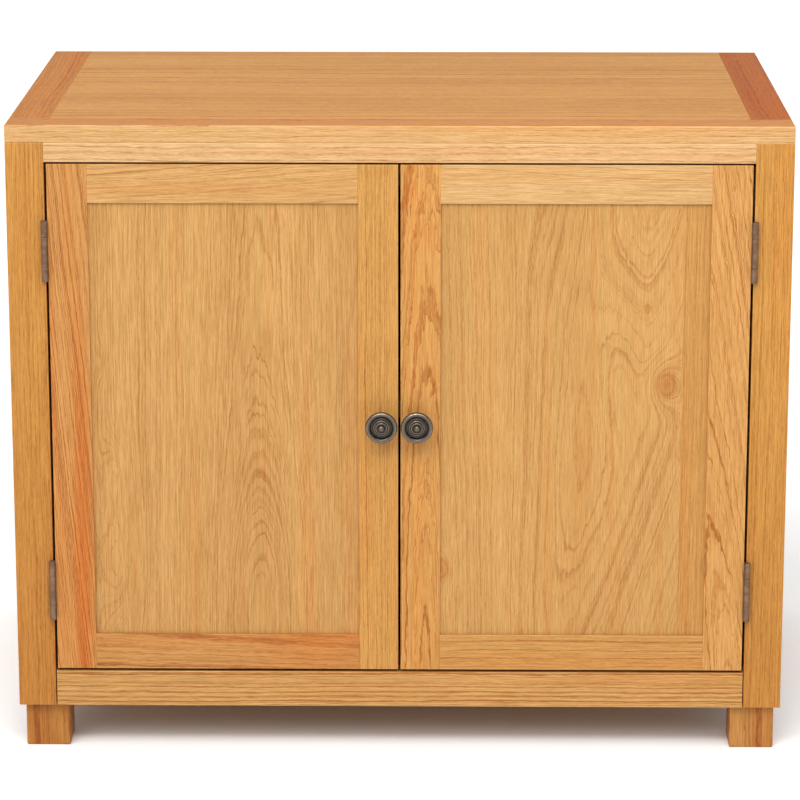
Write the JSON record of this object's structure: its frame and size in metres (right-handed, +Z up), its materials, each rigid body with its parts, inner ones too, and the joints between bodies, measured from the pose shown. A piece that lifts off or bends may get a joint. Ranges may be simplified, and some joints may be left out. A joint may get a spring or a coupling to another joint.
{
  "type": "media cabinet",
  "caption": "Low oak media cabinet on block feet, with inset framed doors on butt hinges, ringed knobs, an inner shelf and cable outlets in the back.",
  "frame": {"origin": "on the floor, at the middle of the footprint, knobs included", "axes": "+X to the right as seen from the front, along the width; +Y to the back; +Z up; the doors face -Y"},
  "size_m": [0.8, 0.522, 0.665],
  "materials": {
    "oak_frame": "satin lacquer",
    "oak_panel": "satin lacquer",
    "oak_strip": "satin lacquer",
    "oak_foot": "satin lacquer",
    "oak_back": "matt",
    "knob_metal": "antiqued satin",
    "hinge_bronze": "antiqued satin",
    "zinc_steel": "satin",
    "catch_plastic": "matt",
    "magnet_black": "matt"
  },
  "bodies": {
    "carcass": {"back_panel": "oak_back", "back_panel_screws": "zinc_steel", "cabinet_floor": "oak_panel", "carcass_wood_screws": "hinge_bronze", "catch_housing": "catch_plastic", "catch_magnets": "magnet_black", "door_stop_rail": "oak_frame", "foot_bolts": "zinc_steel", "front_bottom_rail": "oak_frame", "front_left_foot": "oak_foot", "front_left_post": "oak_frame", "front_right_foot": "oak_foot", "front_right_post": "oak_frame", "front_top_rail": "oak_frame", "hinge_pins": "hinge_bronze", "left_lower_hinge_frame_leaf": "hinge_bronze", "left_side_bottom_rail": "oak_frame", "left_side_panel": "oak_panel", "left_side_top_rail": "oak_frame", "left_upper_hinge_frame_leaf": "hinge_bronze", "rear_bottom_rail": "oak_frame", "rear_left_foot": "oak_foot", "rear_left_post": "oak_frame", "rear_right_foot": "oak_foot", "rear_right_post": "oak_frame", "rear_top_rail": "oak_frame", "right_lower_hinge_frame_leaf": "hinge_bronze", "right_side_bottom_rail": "oak_frame", "right_side_panel": "oak_panel", "right_side_top_rail": "oak_frame", "right_upper_hinge_frame_leaf": "hinge_bronze", "shelf": "oak_panel", "shelf_pins": "zinc_steel", "top_centre_panel": "oak_panel", "top_fixing_screws": "zinc_steel", "top_front_rail": "oak_frame", "top_left_strip": "oak_strip", "top_right_strip": "oak_strip"},
    "left_door": {"left_door_bottom_rail": "oak_frame", "left_door_hinge_stile": "oak_frame", "left_door_knob": "knob_metal", "left_door_knob_screw": "zinc_steel", "left_door_meeting_stile": "oak_frame", "left_door_panel": "oak_panel", "left_door_strike_plate": "zinc_steel", "left_door_top_rail": "oak_frame", "left_door_wood_screws": "hinge_bronze", "left_lower_hinge_door_leaf": "hinge_bronze", "left_upper_hinge_door_leaf": "hinge_bronze"},
    "right_door": {"right_door_bottom_rail": "oak_frame", "right_door_hinge_stile": "oak_frame", "right_door_knob": "knob_metal", "right_door_knob_screw": "zinc_steel", "right_door_meeting_stile": "oak_frame", "right_door_panel": "oak_panel", "right_door_strike_plate": "zinc_steel", "right_door_top_rail": "oak_frame", "right_door_wood_screws": "hinge_bronze", "right_lower_hinge_door_leaf": "hinge_bronze", "right_upper_hinge_door_leaf": "hinge_bronze"}
  },
  "joints": [
    {"name": "left_door_swing", "type": "hinge", "parent": "carcass", "child": "left_door", "pos_m": [-0.3615, -0.2376, 0.35475], "axis": [0, 0, -1], "range_deg": [0, 175]},
    {"name": "right_door_swing", "type": "hinge", "parent": "carcass", "child": "right_door", "pos_m": [0.3615, -0.2376, 0.35475], "axis": [0, 0, 1], "range_deg": [0, 175]}
  ]
}
